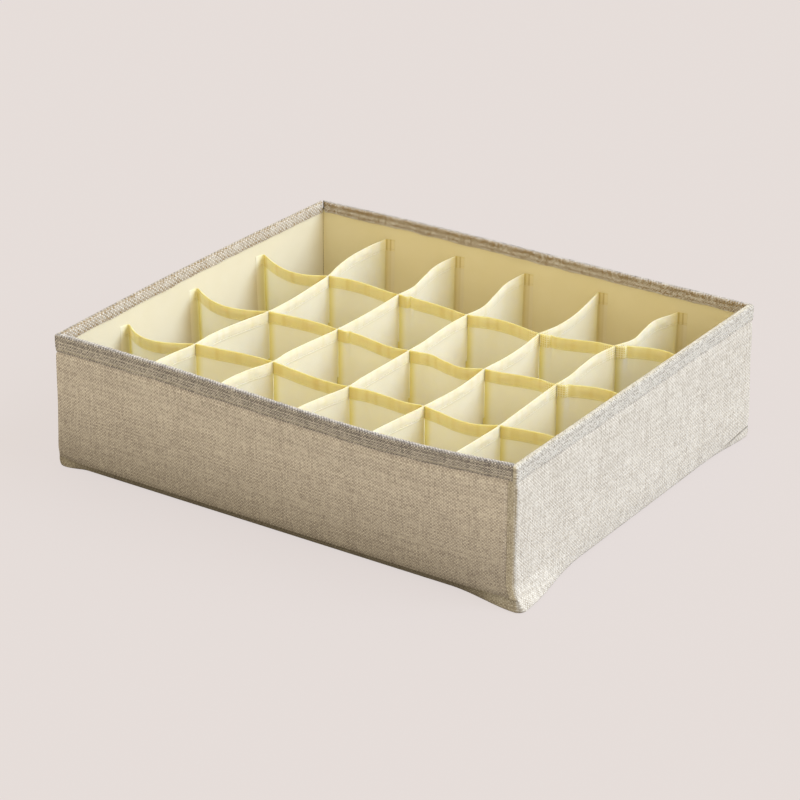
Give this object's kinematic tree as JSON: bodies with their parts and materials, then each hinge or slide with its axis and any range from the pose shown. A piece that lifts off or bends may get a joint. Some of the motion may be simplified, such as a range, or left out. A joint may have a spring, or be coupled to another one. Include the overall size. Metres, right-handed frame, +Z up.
{
  "type": "fabric organizer",
  "caption": "Low open-topped fabric drawer organizer with board-stiffened walls, a bound rim and crossing cloth dividers that form a grid of small cells.",
  "frame": {"origin": "middle of the underside, under the middle of the outermost faces", "axes": "+X along the long walls to the right, +Y from the front wall to the back wall, +Z up out of the open top"},
  "size_m": [0.3605, 0.3073, 0.095],
  "materials": {
    "outer_cloth": "greige linen-look weave",
    "stiffener_board": "plain grey board",
    "lining_cloth": "cream cloth",
    "binding_tape": "grey woven tape",
    "divider_cloth": "cream cloth"
  },
  "bodies": {
    "root": {"outer_front_panel": "outer_cloth", "outer_right_panel": "outer_cloth", "outer_back_panel": "outer_cloth", "outer_left_panel": "outer_cloth", "outer_base_panel": "outer_cloth", "front_stiffener_board": "stiffener_board", "right_stiffener_board": "stiffener_board", "back_stiffener_board": "stiffener_board", "left_stiffener_board": "stiffener_board", "base_stiffener_board": "stiffener_board", "lining_front": "lining_cloth", "lining_right": "lining_cloth", "lining_back": "lining_cloth", "lining_left": "lining_cloth", "lining_floor": "lining_cloth", "rim_binding_front": "binding_tape", "rim_binding_right": "binding_tape", "rim_binding_back": "binding_tape", "rim_binding_left": "binding_tape", "long_divider_1": "divider_cloth", "long_divider_2": "divider_cloth", "long_divider_3": "divider_cloth", "cross_divider_1": "divider_cloth", "cross_divider_2": "divider_cloth", "cross_divider_3": "divider_cloth", "cross_divider_4": "divider_cloth", "cross_divider_5": "divider_cloth"}
  },
  "joints": []
}
